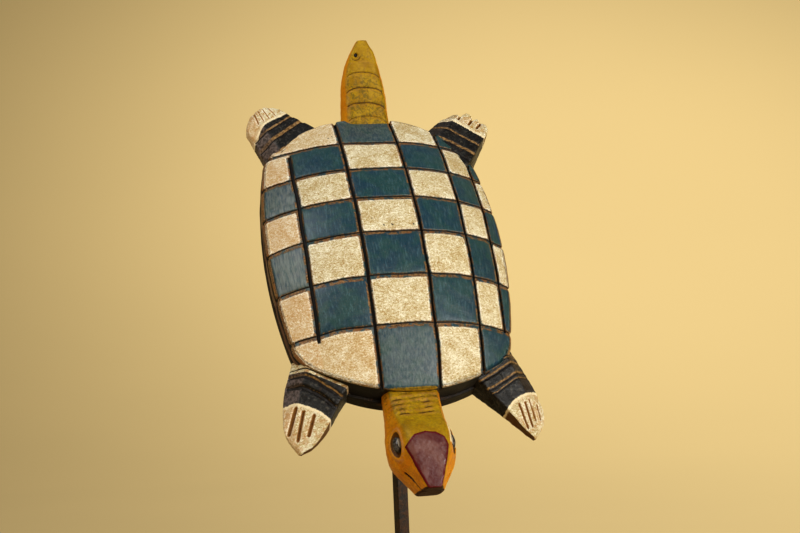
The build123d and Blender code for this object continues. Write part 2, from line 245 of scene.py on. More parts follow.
class Paint:
    """One material and short names for its nodes. A leaning one turns with the turtle's frame."""

    def __init__(self, name, roughness=0.5, leaning=False, **uniform):
        self.material = bpy.data.materials.new(name)
        self.material.use_nodes = True
        self.tree = self.material.node_tree
        self.shader = self.tree.nodes["Principled BSDF"]
        for socket, value in dict(uniform, Roughness=roughness).items():
            self.shader.inputs[socket.replace("_", " ")].default_value = value
        self.place = self.node("TexCoord")["Object"]
        if leaning:
            turn = (BACK_LEAN - math.pi / 2, 0, 0)
            self.place = self.node("Mapping", {"Vector": self.place, "Rotation": turn})["Vector"]

    def join(self, value, socket):
        if isinstance(value, bpy.types.NodeSocket):
            self.tree.links.new(value, socket)
        else:
            socket.default_value = value

    def node(self, kind, sockets=None, **settings):
        """The outputs of a new node with those settings and inputs."""
        node = self.tree.nodes.new(f"ShaderNode{kind}")
        for setting, value in settings.items():
            setattr(node, setting, value)
        for socket, value in (sockets or {}).items():
            self.join(value, node.inputs[socket])
        return node.outputs

    def field(self, name):
        return self.node("Attribute", attribute_name=name)["Fac"]

    def math(self, operation, a, b=0.0):
        return self.node("Math", {0: a, 1: b}, operation=operation)[0]

    def times(self, a, b):
        return self.math("MULTIPLY", a, b)

    def plus(self, a, b):
        return self.math("ADD", a, b)

    def step(self, value, low, high):
        """0 at low, 1 at high, smooth between; high may be the lower one."""
        sockets = {"Value": value, "From Min": low, "From Max": high}
        return self.node("MapRange", sockets, interpolation_type="SMOOTHSTEP")["Result"]

    def mix(self, share, a, b, most=None):
        """From a to b as share runs from 0 to 1, or part of the way. Colours can be as srgb takes them."""
        if most is not None:
            share = self.times(share, most)
        a, b = (srgb(*colour) if isinstance(colour, tuple) else colour for colour in (a, b))
        return self.node("Mix", {0: share, 6: a, 7: b}, data_type="RGBA")[2]

    def over(self, colour, coat, value, low, high, most=None):
        """The colour under a coat that comes in as value runs from low to high, up to a share of most."""
        return self.mix(self.step(value, low, high), colour, coat, most)

    def fray(self, size, width):
        """Sets how the edges of this paint wander, in millimetres along and across them."""
        self.ragged = self.times(self.math("SUBTRACT", self.noise(size, 3.0), 0.5), width)

    def frayed(self, field, share=1.0):
        """A mesh field, moved by a share of the wander."""
        ragged = self.ragged if share == 1.0 else self.times(self.ragged, share)
        return self.plus(self.field(field), ragged)

    def stretched(self, across, along, out=1.0):
        """The place, divided by a stretch in each direction."""
        scale = (1 / across, 1 / along, 1 / out)
        return self.node("Mapping", {"Vector": self.place, "Scale": scale})["Vector"]

    def noise(self, size, detail=3.0, vector=None, distortion=0.0, roughness=0.55):
        """Noise of 0 to 1, mostly 0.3 to 0.7, with patches about size millimetres wide."""
        sockets = {"Detail": detail, "Roughness": roughness, "Distortion": distortion}
        sockets.update(Vector=self.place if vector is None else vector, Scale=1 / (size * MM))
        return self.node("TexNoise", sockets)[0]

    def distance(self, centre, scale):
        """Distance from a centre in metres, each direction multiplied by its scale."""
        shift = [-c * k for c, k in zip(centre, scale)]
        moved = self.node("Mapping", {"Vector": self.place, "Scale": scale, "Location": shift})["Vector"]
        return self.node("VectorMath", {0: moved}, operation="LENGTH")["Value"]

    def bump(self, *layers):
        """Relief from pairs of a height from 0 to 1 and its depth in millimetres."""
        sockets = {}
        for height, depth in layers:
            sockets.update(Height=height, Distance=depth * MM)
            sockets["Normal"] = self.node("Bump", sockets)["Normal"]
        self.join(sockets["Normal"], self.shader.inputs["Normal"])

    def finish(self, colour, roughness=None):
        self.join(colour, self.shader.inputs["Base Color"])
        if roughness is not None:
            self.join(roughness, self.shader.inputs["Roughness"])
        return self.material


def rough_between(paint, share, low, high):
    """A roughness that runs from low to high with share."""
    return paint.plus(paint.times(share, high - low), low)


def cream_colour(paint):
    """Old cream paint: pale ridges of thick paint over ochre that shows through in fine flecks."""
    fleck = paint.noise(1.2, 3.0, distortion=2.6, roughness=0.6)
    brushed = paint.noise(1.1, 3.0, paint.stretched(1.9, 1.0), distortion=1.2)
    patch = paint.noise(14, 3.0, distortion=0.8)
    swirl = paint.math("ABSOLUTE", paint.math("SUBTRACT", paint.noise(3.6, 1.0, distortion=2.2), 0.5))
    tone = paint.plus(paint.times(fleck, 0.6), paint.times(brushed, 0.4))
    tone = paint.plus(tone, paint.times(paint.math("SUBTRACT", patch, 0.5), 0.2))
    tone = paint.math("SUBTRACT", tone, paint.times(paint.step(swirl, 0.035, 0.0), 0.07))
    colour = paint.over((158, 122, 50), (208, 198, 156), tone, 0.41, 0.49)
    colour = paint.over(colour, (246, 244, 228), tone, 0.51, 0.59)
    return colour, tone


def blue_colour(paint):
    """Prussian blue rubbed thin in strokes along the back, with grey-green and brown showing."""
    stroke = paint.noise(1.6, 4.0, paint.stretched(1.0, 7.0), roughness=0.65)
    patch = paint.noise(17, 4.0, distortion=0.8)
    fine = paint.noise(1.0, 3.0, distortion=0.8)
    colour = paint.over((4, 56, 76), (24, 70, 72), patch, 0.36, 0.64)
    colour = paint.over(colour, (72, 112, 126), stroke, 0.50, 0.70, 0.5)
    colour = paint.over(colour, (104, 88, 62), fine, 0.57, 0.70, 0.4)
    colour = paint.over(colour, (5, 24, 36), fine, 0.45, 0.32, 0.6)
    return colour, stroke


def wood_colour(paint):
    """Bare wood on worn edges, tan to orange-brown, with dirt in it."""
    grain = paint.noise(1.4, 4.0, roughness=0.65)
    patch = paint.noise(9, 2.0)
    colour = paint.over((66, 42, 22), (158, 122, 78), grain, 0.36, 0.64)
    return paint.over(colour, (140, 88, 42), patch, 0.5, 0.66, 0.6)


def black_colour(paint):
    """Thick black paint, rubbed grey-blue on its high places and brown where it is thin."""
    scuff = paint.noise(3.2, 5.0, distortion=1.0, roughness=0.65)
    patch = paint.noise(13, 3.0, distortion=0.5)
    colour = paint.over((10, 10, 10), (26, 27, 28), patch, 0.36, 0.64)
    colour = paint.over(colour, (94, 90, 80), scuff, 0.50, 0.68, 0.55)
    return paint.over(colour, (66, 46, 26), scuff, 0.42, 0.32, 0.6)


def tile_paint():
    """The back: cream and blue tiles, bevels rubbed to the wood, groove bottoms painted near-black as shade,
    a grey painted sheen on the blue tiles, pale lines of thick paint and painted highlight at the cream
    tiles' edges, and a dark wall.
    """
    paint = Paint("tile_paint", 0.5, leaning=True)
    cream, cream_tone = cream_colour(paint)
    blue, stroke = blue_colour(paint)
    wood = wood_colour(paint)
    is_cream = paint.step(paint.field("cream"), 0.45, 0.55)
    paint.fray(1.6, 2.4)
    edge = paint.frayed("edge")
    # Grey painted sheen on the blue tiles, a reflection of the light painted in: strongest in the first
    # column, less in the end rows.
    painted_sheen = paint.times(paint.field("warm"), paint.step(stroke, 0.3, 0.6))
    blue = paint.mix(painted_sheen, blue, (128, 132, 124), 0.55)
    colour = paint.mix(is_cream, blue, cream)
    warm = paint.times(paint.times(paint.field("warm"), is_cream), paint.step(cream_tone, 0.64, 0.44))
    colour = paint.mix(warm, colour, (212, 160, 104), 0.6)
    # A pale line just inside each cream tile's edge: a ridge of thick paint, and also a painted highlight
    # where the edge catches the light.
    ridge = paint.times(paint.step(edge, 1.9, 0.7), paint.step(edge, -0.6, 0.3))
    ridge = paint.times(paint.times(ridge, is_cream), paint.step(cream_tone, 0.40, 0.56))
    colour = paint.mix(ridge, colour, (246, 242, 226), 0.85)
    worn = paint.step(edge, 0.5, -0.4)
    leftover = paint.step(paint.plus(paint.noise(5, 3.0), paint.field("flank")), 0.50, 0.58)
    leftover = paint.mix(paint.times(leftover, paint.step(paint.field("flank"), 0.1, 0.0)), wood, blue)
    colour = paint.mix(worn, colour, leftover)
    lap = paint.step(paint.frayed("lap", 0.18), 0.4, 0.6)
    colour = paint.mix(lap, colour, paint.over((128, 98, 12), (176, 138, 30), stroke, 0.4, 0.6))
    chip = paint.step(paint.frayed("chip", 0.25), 0.4, 0.7)
    colour = paint.mix(chip, colour, (30, 26, 24))
    streak = paint.noise(1.2, 3.0, paint.stretched(8.0, 8.0, 1.0))
    strip = paint.over((48, 28, 20), (116, 80, 56), streak, 0.36, 0.60)
    drop = paint.frayed("drop", 0.3)
    flank = paint.field("flank")
    wall = paint.mix(paint.times(paint.step(drop, 6.0, 7.2), flank), (13, 9, 6), strip)
    wall = paint.over(wall, (52, 40, 28), streak, 0.60, 0.72, 0.3)
    colour = paint.over(colour, wall, drop, 2.2, 3.0)
    # Groove bottoms and the cross grooves' steep walls: near-black painted shade.
    core = paint.step(paint.field("core"), 0.35, 0.65)
    colour = paint.mix(core, colour, (10, 7, 5))
    rough = rough_between(paint, paint.math("MAXIMUM", is_cream, core), 0.33, 0.6)
    relief = paint.plus(cream_tone, paint.times(stroke, 0.5))
    paint.bump((relief, 0.22), (paint.noise(5, 4.0), 0.35))
    return paint.finish(colour, rough)


def belly_paint():
    """The board: a black-brown edge, worn brown, and a chiselled underside stained brown."""
    paint = Paint("belly_paint", 0.6, leaning=True, Specular_IOR_Level=0.3)
    grain = paint.noise(1.6, 4.0, paint.stretched(1.0, 10.0), roughness=0.6)
    scuff = paint.noise(9, 5.0, distortion=0.8)
    colour = paint.over((13, 10, 6), (32, 24, 15), grain, 0.35, 0.65)
    colour = paint.over(colour, (84, 60, 38), scuff, 0.55, 0.70, 0.6)
    stain = paint.over((58, 42, 28), (112, 84, 54), grain, 0.36, 0.62)
    colour = paint.mix(paint.times(paint.field("under"), paint.step(scuff, 0.36, 0.56)), colour, stain)
    worn = paint.step(paint.plus(paint.field("worn"), paint.noise(2.4, 4.0)), 0.95, 1.15)
    colour = paint.mix(worn, colour, (120, 84, 52), 0.7)
    paint.bump((grain, 0.3), (scuff, 0.5))
    return paint.finish(colour, rough_between(paint, scuff, 0.45, 0.75))


def leg_paint():
    """Legs: black bands cut by rubbed gold lines with a dark band of painted shade in each groove, a
    grey-purple outer side and a cream foot.
    """
    paint = Paint("leg_paint", 0.5, leaning=True, Specular_IOR_Level=0.35)
    paint.fray(1.8, 2.6)
    black = black_colour(paint)
    side_grain = paint.noise(2.2, 4.0, distortion=0.6)
    purple = paint.over((54, 44, 40), (112, 98, 94), side_grain, 0.36, 0.62)
    colour = paint.mix(paint.field("outer"), black, purple, 0.85)
    cream, tone = cream_colour(paint)
    ochre = paint.step(paint.noise(4.5, 4.0, distortion=0.8), 0.47, 0.60)
    foot = paint.mix(ochre, cream, (176, 122, 50), 0.5)
    foot = paint.mix(paint.field("outer"), foot, (218, 164, 110), 0.3)
    foot = paint.over(foot, (96, 64, 26), paint.field("under"), 0.3, 0.9)
    foot_edge = paint.frayed("foot")
    foot = paint.over(foot, (240, 226, 190), foot_edge, 3.2, 1.4, 0.8)
    colour = paint.over(colour, foot, foot_edge, -0.3, 0.4)
    root_edge = paint.frayed("root", 0.6)
    strip = paint.mix(ochre, cream, (150, 98, 44), 0.8)
    colour = paint.over(colour, strip, root_edge, -0.3, 0.4)
    gold = paint.over((84, 60, 30), (152, 120, 74), side_grain, 0.36, 0.62)
    gold_edge = paint.frayed("gold", 0.45)
    outside = paint.math("SUBTRACT", 1.0, paint.times(paint.field("outer"), 0.6))
    colour = paint.mix(paint.times(paint.step(gold_edge, -0.2, 0.3), outside), colour, gold)
    slot_edge = paint.frayed("slot", 0.15)
    # A pale line along the toe slots' edges: a ridge of cream paint, and also a painted highlight.
    ridge = paint.times(paint.step(slot_edge, -1.3, -0.8), paint.step(slot_edge, 0.1, -0.2))
    ridge = paint.times(ridge, paint.step(tone, 0.42, 0.54))
    colour = paint.mix(ridge, colour, (244, 236, 212), 0.8)
    deep = paint.times(paint.step(slot_edge, 0.4, 1.4), paint.step(tone, 0.56, 0.42))
    cut = paint.mix(deep, (158, 110, 48), (64, 38, 14))
    colour = paint.over(colour, cut, slot_edge, -0.1, 0.3)
    # The dark band in each groove, beside its gold line, is painted shade.
    dark = paint.step(paint.frayed("dark", 0.25), -0.1, 0.3)
    colour = paint.mix(dark, colour, (16, 10, 7))
    paint.bump((tone, 0.25), (side_grain, 0.35))
    return paint.finish(colour, rough_between(paint, paint.step(foot_edge, -0.3, 0.4), 0.42, 0.6))


def yellow_paint():
    """Head and tail: yellow ochre, orange on the sides and greenish above, dark brown in the cuts."""
    paint = Paint("yellow_paint", 0.42, leaning=True, Specular_IOR_Level=0.25)
    paint.fray(1.6, 2.2)
    patch = paint.noise(11, 4.0, distortion=0.7)
    fine = paint.noise(1.8, 4.0, distortion=0.8, roughness=0.65)
    top = paint.over((152, 116, 0), (172, 138, 6), patch, 0.38, 0.62)
    top = paint.over(top, (116, 94, 14), fine, 0.52, 0.66, 0.6)
    top = paint.over(top, (188, 150, 36), fine, 0.42, 0.32, 0.5)
    side = paint.over((206, 128, 2), (218, 146, 10), patch, 0.36, 0.64)
    side = paint.over(side, (150, 88, 14), fine, 0.54, 0.68, 0.45)
    colour = paint.mix(paint.field("side"), top, side)
    grime = paint.times(paint.field("grime"), paint.step(paint.noise(3.4, 4.0, distortion=1.0), 0.46, 0.60))
    colour = paint.mix(grime, colour, (84, 78, 22), 0.6)
    rubbed = paint.times(paint.field("rubbed"), paint.step(fine, 0.40, 0.56))
    colour = paint.mix(rubbed, colour, (190, 134, 76), 0.6)
    cut = paint.step(paint.frayed("cut", 0.2), 0.35, 0.7)
    colour = paint.mix(cut, colour, (74, 42, 10), 0.9)
    snout = paint.step(paint.frayed("snout", 0.08), 0.4, 0.6)
    colour = paint.mix(snout, colour, (64, 36, 10))
    shield_edge = paint.frayed("shield", 0.35)
    cloud = paint.noise(15, 3.0, distortion=0.4)
    plum = paint.over((86, 38, 38), (114, 76, 70), cloud, 0.36, 0.64)
    plum = paint.over(plum, (92, 14, 26), shield_edge, 2.0, 1.0)
    inside = paint.step(shield_edge, -0.2, 0.2)
    colour = paint.mix(inside, colour, plum)
    white = paint.step(paint.frayed("cream_spot", 0.2), 0.45, 0.65)
    colour = paint.mix(white, colour, (226, 208, 164))
    dark = paint.step(paint.field("dark"), 0.4, 0.7)
    colour = paint.mix(dark, colour, (22, 12, 6))
    paint.bump((fine, 0.25), (patch, 0.4))
    return paint.finish(colour, rough_between(paint, inside, 0.5, 0.22))


def eye_paint():
    """Eye studs: black, rubbed grey on top, with a pale crescent that is a painted highlight."""
    paint = Paint("eye_paint", 0.3, leaning=True)
    worn = paint.noise(2.6, 4.0, distortion=1.0)
    colour = paint.over((26, 22, 22), (92, 86, 84), worn, 0.42, 0.60)
    # The pale crescent is a painted highlight on the stud's dome.
    pale = paint.step(paint.plus(paint.field("crescent"), paint.times(worn, 0.5)), 0.9, 1.1)
    colour = paint.mix(pale, colour, (186, 176, 158), 0.8)
    paint.bump((worn, 0.2))
    return paint.finish(colour)


def iron_paint():
    """Forged bar: blackened iron with brown rust in patches."""
    paint = Paint("bar_iron", 0.6, Metallic=0.35)
    rust = paint.noise(7, 5.0, distortion=0.8, roughness=0.65)
    pits = paint.noise(1.6, 4.0)
    colour = paint.over((38, 36, 32), (74, 52, 34), rust, 0.44, 0.60)
    colour = paint.over(colour, (104, 76, 50), pits, 0.56, 0.68, 0.5)
    colour = paint.over(colour, (26, 22, 20), pits, 0.42, 0.30)
    paint.bump((pits, 0.35), (rust, 0.5))
    return paint.finish(colour, rough_between(paint, rust, 0.4, 0.8))


def base_paint():
    """The base block: black satin lacquer, a little rubbed, over close-grained wood."""
    paint = Paint("base_paint", 0.35, Coat_Weight=0.25, Coat_Roughness=0.25)
    grain = paint.noise(1.8, 4.0, paint.stretched(22.0, 1.0, 1.0), roughness=0.6)
    rubbed = paint.noise(26, 4.0, distortion=0.4)
    colour = paint.over((17, 16, 16), (30, 28, 27), grain, 0.35, 0.65)
    colour = paint.over(colour, (48, 44, 40), rubbed, 0.56, 0.72, 0.5)
    paint.bump((grain, 0.12))
    return paint.finish(colour, rough_between(paint, rubbed, 0.26, 0.48))


def felt_cloth():
    """Short dark green felt."""
    paint = Paint("felt", 0.95, Sheen_Weight=0.5, Sheen_Roughness=0.6)
    fibre = paint.noise(0.7, 4.0, distortion=2.0)
    colour = paint.over((22, 36, 28), (58, 76, 60), fibre, 0.34, 0.66)
    paint.bump((fibre, 0.3))
    return paint.finish(colour)


def metal(name, dull, bright, low, high):
    """Turned metal with fine rings of tool marks and dull patches."""
    paint = Paint(name, 0.35, Metallic=1.0)
    turned = paint.noise(0.5, 3.0, paint.stretched(30.0, 30.0, 1.0))
    stain = paint.noise(5, 4.0, distortion=0.6)
    colour = paint.over(dull, bright, stain, 0.36, 0.64)
    paint.bump((turned, 0.04))
    return paint.finish(colour, rough_between(paint, stain, high, low))


def peg_wood():
    """Hardwood pegs, darkened by handling."""
    paint = Paint("peg_wood", 0.6)
    grain = paint.noise(1.0, 4.0, paint.stretched(1.0, 1.0, 12.0), roughness=0.6)
    colour = paint.over((112, 84, 52), (176, 138, 90), grain, 0.34, 0.66)
    paint.bump((grain, 0.15))
    return paint.finish(colour, rough_between(paint, grain, 0.5, 0.7))


GLOW_PLACE = (1.2, 4.0, 0.45)  # where the paper's own painted glow is brightest, as though a lamp stood behind the turtle, in metres
GLOW_SCALE = (1.0, 0.15, 1.4)


def sand_paper():
    """The studio's seamless paper: plain pale sand with the faintest mottle. It glows by itself, a painted
    light that is brightest around GLOW_PLACE.
    """
    paint = Paint("sand_paper", 0.9, Emission_Color=srgb(234, 206, 145))
    mottle = paint.noise(600, 2.0)
    # Painted light: the paper's glow grows towards GLOW_PLACE.
    glow = paint.step(paint.distance(GLOW_PLACE, GLOW_SCALE), 2.2, 0.3)
    paint.join(rough_between(paint, glow, 0.22, 0.8), paint.shader.inputs["Emission Strength"])
    return paint.finish(paint.over((132, 117, 82), (138, 122, 86), mottle, 0.3, 0.7))


# ---- Carapace and belly board ----

# Places of grid lines from a groove's middle
LONG_OFFSETS = (
    -4.4, -3.7, -3.1, -2.5, -2.0, -1.7, -1.45, -1.25, -0.7, 0, 0.7, 1.25, 1.45, 1.7, 2.0, 2.5, 3.2,
)
CROSS_OFFSETS = (-3.9, -3.2, -2.6, -2.0, -1.4, -0.8, -0.2, 0.3, 0.6, 0.9, 1.15, 1.4, 1.7, 2.2, 2.8)
LONG_CORES = (1.3, 1.2, 1.0, 0.85, 0.8)  # half width of each long groove's deep bottom, painted near-black as shade
CHAMFER = 2.3  # width of the bevel on a long groove's right side, as the turtle faces
CROSS_CUT = ((-3.4, 0), (-2.8, 0.12), (0.2, 1.45), (0.8, 1.7), (1.15, 1.6), (1.5, 0.25), (2.2, 0))
RIM_MARGIN = 3.2
GRID_SPACING = 1.9
WALL_CUT_DEPTH = 6.0  # how far below the rim the grooves fade out in the wall
SEAM_LAP = 0.2
BELLY_AROUND = 900
# Chipped and stained places: x, y and size
CHIPS = (
    (-44, -6, 1.2), (-42, -6.6, 1.2), (-40.5, -6.5, 0.9), (-36, 114.5, 1.6), (-33.5, 116, 1.3),
    (-81, 88, 1.2), (-80.2, 91, 1.0), (-17.4, 10.4, 0.9), (-7, 2.4, 1.0), (-0.8, 13.3, 0.8),
    (-0.3, 2.7, 1.0), (8, 5.4, 0.9), (-12, 3.0, 0.8), (49, 77, 0.9), (19, 3, 0.7),
)
LAP_HALF_WIDTH, LAP_REACH = 22.0, 5.0  # where the head's yellow runs up over the tile above it


def profile(t, cut):
    """Depth of a groove at t from its middle, from the corners of its cross-section."""
    places, depths = zip(*cut)
    return np.interp(t, places, depths)


def plan_outline(node):
    """The node's plan as rows of angle and distance from the turtle's origin, over three turns."""
    plan = turtle_points(node)[:, :2]
    hull = plan[convex_hull_2d(plan.tolist())]
    rows = sorted((math.atan2(y, x), math.hypot(x, y)) for x, y in hull)
    kept = [rows[0]]
    kept += [row for before, row in zip(rows, rows[1:]) if row[0] - before[0] > 0.004]
    turn = np.array([2 * math.pi, 0])
    return np.vstack([np.array(kept) - turn, kept, np.array(kept) + turn])


def grid_lines(grooves, offsets, low, high, spacing):
    """Places from low to high, close together at the grooves and spacing apart between them."""
    dense = sorted([low, high] + [g + t for g in grooves for t in offsets])
    lines = []
    for a, b in zip(dense, dense[1:]):
        lines.append(np.linspace(a, b, max(1, math.ceil((b - a) / spacing)), endpoint=False))
    return np.append(np.concatenate(lines), high)


def dome(x, y):
    side = SIDE_FALL * np.abs(x / SHELL_HALF_WIDTH) ** SIDE_POWER
    return -side - END_FALL * ((y - CROWN_LINE_Y) / END_REACH) ** 2


def closing(y):
    return 1 - LONG_CLOSING * (y / CLOSING_REACH) ** 2


def groove_presence(k, y):
    """How far a long groove is cut at y: the first stops short of both ends, the last of the neck."""
    if k == 0:
        return ramp(y, -98, -92) * (1 - ramp(y, 98, 101))
    if k == len(LONG_GROOVES) - 1:
        return ramp(y, -91, -89)
    return np.ones_like(y)


def tiles(x, y):
    """Depth of the grooves at places on the back, and the fields that say how a tile is painted there."""
    plan = np.stack([x, y], -1)
    u = x / closing(y) + 0.3 * wobble(plan, 60, 3)
    y_cut = y + 0.35 * wobble(plan, 45, 4)
    long_grooves, cross_grooves = np.array(LONG_GROOVES), np.sort(CROSS_GROOVES)
    # core: where the grooves' deep bottoms and the cross grooves' steep walls get near-black painted shade
    depth, core = np.zeros_like(u), np.zeros_like(u)
    presence = np.array([groove_presence(k, y) for k in range(len(long_grooves))])
    for k, g in enumerate(long_grooves):
        half = LONG_CORES[k]
        left = half + CHAMFER
        bevel = ((-left, 0), (0.6 - left, 0.15), (-half - 0.3, 1.1))
        cut = (*bevel, (-half, 4), (half, 4), (half + 0.35, 0.3), (half + 1, 0))
        depth = np.maximum(depth, presence[k] * profile(u - g, cut))
        core = np.maximum(core, presence[k] * (1 - ramp(np.abs(u - g), half - 0.1, half + 0.35)))
    for g in cross_grooves:
        depth = np.maximum(depth, profile(y_cut - g, CROSS_CUT))
        core = np.maximum(core, hill(y_cut - g, 0.95, 0.85))
    column, row = np.searchsorted(long_grooves, u), np.searchsorted(cross_grooves, y_cut)
    far = 60.0
    beside = np.concatenate([[-999], long_grooves, [999]])
    ends = np.concatenate([[-999], cross_grooves, [999]])
    absent = np.vstack([np.zeros_like(u), far * (1 - presence), np.zeros_like(u)])
    place = np.arange(u.size)
    halves = np.array((0, *LONG_CORES, 0))
    gaps = (
        u - beside[column] - halves[column] - 0.5 + absent[column, place],
        beside[column + 1] - halves[column + 1] - CHAMFER + 0.3 - u + absent[column + 1, place],
        y_cut - ends[row] - 1.5,
        ends[row + 1] - 2.9 - y_cut,
    )
    rounding = 0.7
    edge = -rounding * np.log(sum(np.exp(-np.clip(gap, -20, far) / rounding) for gap in gaps))
    # Seen from the tail, the first tile is blue, and the corner tiles beside the legs join their neighbours
    cream = (column + len(cross_grooves) - row) % 2 == 1
    cream = np.where((column == 0) & ((row == 0) | (row == len(cross_grooves))), True, cream)
    cream = np.where((column == len(long_grooves)) & (row == 0), False, cream)
    number = column * 7.0 + row * 3.0
    tilt = 0.16 * (np.sin(number * 1.7) + np.sin(number * 2.9 + 1))
    tilt = tilt + 0.12 * wobble(plan, 14, 5)
    chip = np.zeros_like(u)
    for chip_x, chip_y, size in CHIPS:
        chip = np.maximum(chip, 1 - ramp(np.hypot(x - chip_x, y - chip_y), 0.4 * size, size))
    end_row = (row == 0) | (row == len(cross_grooves))
    # warm: where the cream turns warmer, and where the blue tiles get their grey painted sheen
    warm = np.where(column == 0, 0.9, np.where(end_row & (column < 3), 0.55, 0.12))
    lap = ramp(LAP_HALF_WIDTH - np.abs(x), -1, 3) * ramp(-y, -NECK_EDGE - LAP_REACH, -NECK_EDGE)
    swell = 0.35 * (1 - np.exp(-np.maximum(edge, 0) / 2.5)) - 0.35
    fields = {"cream": cream, "edge": edge, "core": core, "chip": chip, "warm": warm, "lap": lap}
    return depth - swell - tilt, fields


def outline_points(outline, angle):
    """Points of a plan's outline and the directions out of it, at those angles."""
    reach = smooth_through(angle, outline)[:, 0]
    points = np.column_stack([reach * np.cos(angle), reach * np.sin(angle)])
    tangent = np.roll(points, -1, axis=0) - np.roll(points, 1, axis=0)
    tangent /= np.linalg.norm(tangent, axis=1, keepdims=True)
    return points, np.column_stack([tangent[:, 1], -tangent[:, 0]])


def make_carapace(material):
    """The domed back: a grid that follows the grooves, then rings over the rim and down the wall."""
    outline = plan_outline("carapace")
    us = grid_lines(LONG_GROOVES, LONG_OFFSETS, -108, 108, GRID_SPACING)
    ys = grid_lines(CROSS_GROOVES, CROSS_OFFSETS, -144, 139, GRID_SPACING)
    u, y = (a.ravel() for a in np.meshgrid(us, ys))
    x = u * closing(y)
    room = smooth_through(np.arctan2(y, x), outline)[:, 0] - RIM_MARGIN - np.hypot(x, y)
    index = np.arange(u.size).reshape(len(ys), len(us))
    quads = np.stack([index[:-1, :-1], index[:-1, 1:], index[1:, 1:], index[1:, :-1]], -1).reshape(-1, 4)
    quads = quads[(room[quads] > 0).all(axis=1)]
    used, quads = np.unique(quads, return_inverse=True)
    quads = quads.reshape(-1, 4)
    x, y = x[used], y[used]
    depth, fields = tiles(x, y)
    points = [np.column_stack([x, y, dome(x, y) - depth])]
    fields["drop"], fields["flank"] = np.zeros_like(x), np.zeros_like(x)
    rows = {name: [values] for name, values in fields.items()}

    follows = {}
    for k in range(4):
        follows.update(zip(zip(quads[:, k], quads[:, (k + 1) % 4]), quads[:, (k + 1) % 4]))
    onward = {a: b for (a, b) in follows if (b, a) not in follows}
    loop = [next(iter(onward))]
    while onward[loop[-1]] != loop[0]:
        loop.append(onward[loop[-1]])
    around = len(loop)
    angle = np.unwrap(np.arctan2(y[loop], x[loop]))
    for _ in range(6):
        ahead = np.append(angle[1:], angle[0] + 2 * math.pi)
        behind = np.append(angle[-1] - 2 * math.pi, angle[:-1])
        angle = (ahead + 2 * angle + behind) / 4
    edge_points, out = outline_points(outline, (angle + math.pi) % (2 * math.pi) - math.pi)
    flank = ramp(np.abs(out[:, 0]), 0.55, 0.85)
    radius = 0.9 + 1.7 * flank

    def add_ring(plan, height, up, sideways, drop, fade):
        cut, ring = tiles(plan[:, 0], plan[:, 1])
        cut = cut * fade
        points.append(np.column_stack([plan - out * (cut * sideways)[:, None], height - cut * up]))
        inside = np.einsum("ij,ij->i", edge_points - plan, out)
        rim_edge = np.maximum(inside, 0) - 0.2 - 1.6 * flank
        ring["edge"] = np.minimum(ring["edge"], rim_edge)
        ring["core"] = ring["core"] * (drop < 5)
        ring.update(drop=drop, flank=flank)
        for name in rows:
            rows[name].append(ring[name])

    for turn in np.linspace(0, math.pi / 2, 6):
        plan = edge_points - out * (radius * (1 - math.sin(turn)))[:, None]
        drop = radius * (1 - math.cos(turn))
        add_ring(plan, dome(plan[:, 0], plan[:, 1]) - drop, math.cos(turn), math.sin(turn), drop, 1.0)
    rim = dome(edge_points[:, 0], edge_points[:, 1]) - radius
    for share in np.linspace(0, 1, 24)[1:]:
        height = rim + (SEAM_Z - rim) * share
        drop = radius + rim - height
        band = hill(drop, 4.6, 2.4) + hill(drop, 14.8, 1.6)
        joint = 0.4 * ramp(share, 0.93, 1.0)
        ripple = 0.25 * wobble(np.column_stack([edge_points, height]), 18, 8) * ramp(share, 0, 0.2)
        plan = edge_points - out * (flank * (band + joint) + 0.25 + ripple)[:, None]
        add_ring(plan, height, 0, 1, drop, np.clip(1 - (drop - radius) / WALL_CUT_DEPTH, 0, 1))

    faces = quads.tolist()
    first = len(x)
    faces += [(loop[i], first + i, first + (i + 1) % around, loop[(i + 1) % around]) for i in range(around)]
    ring_count = len(points) - 1
    faces += [[v + first for v in face] for face in ring_faces(ring_count, around)]
    total = first + ring_count * around
    faces += fan_faces(total - around, around, total)
    points.append(np.array([[0, 0, SEAM_Z]]))
    merged = {name: np.append(np.concatenate(values), values[-1].mean()) for name, values in rows.items()}
    points = np.concatenate(points)
    make_piece("carapace_carved", points, faces, material, merged, ["carapace"])


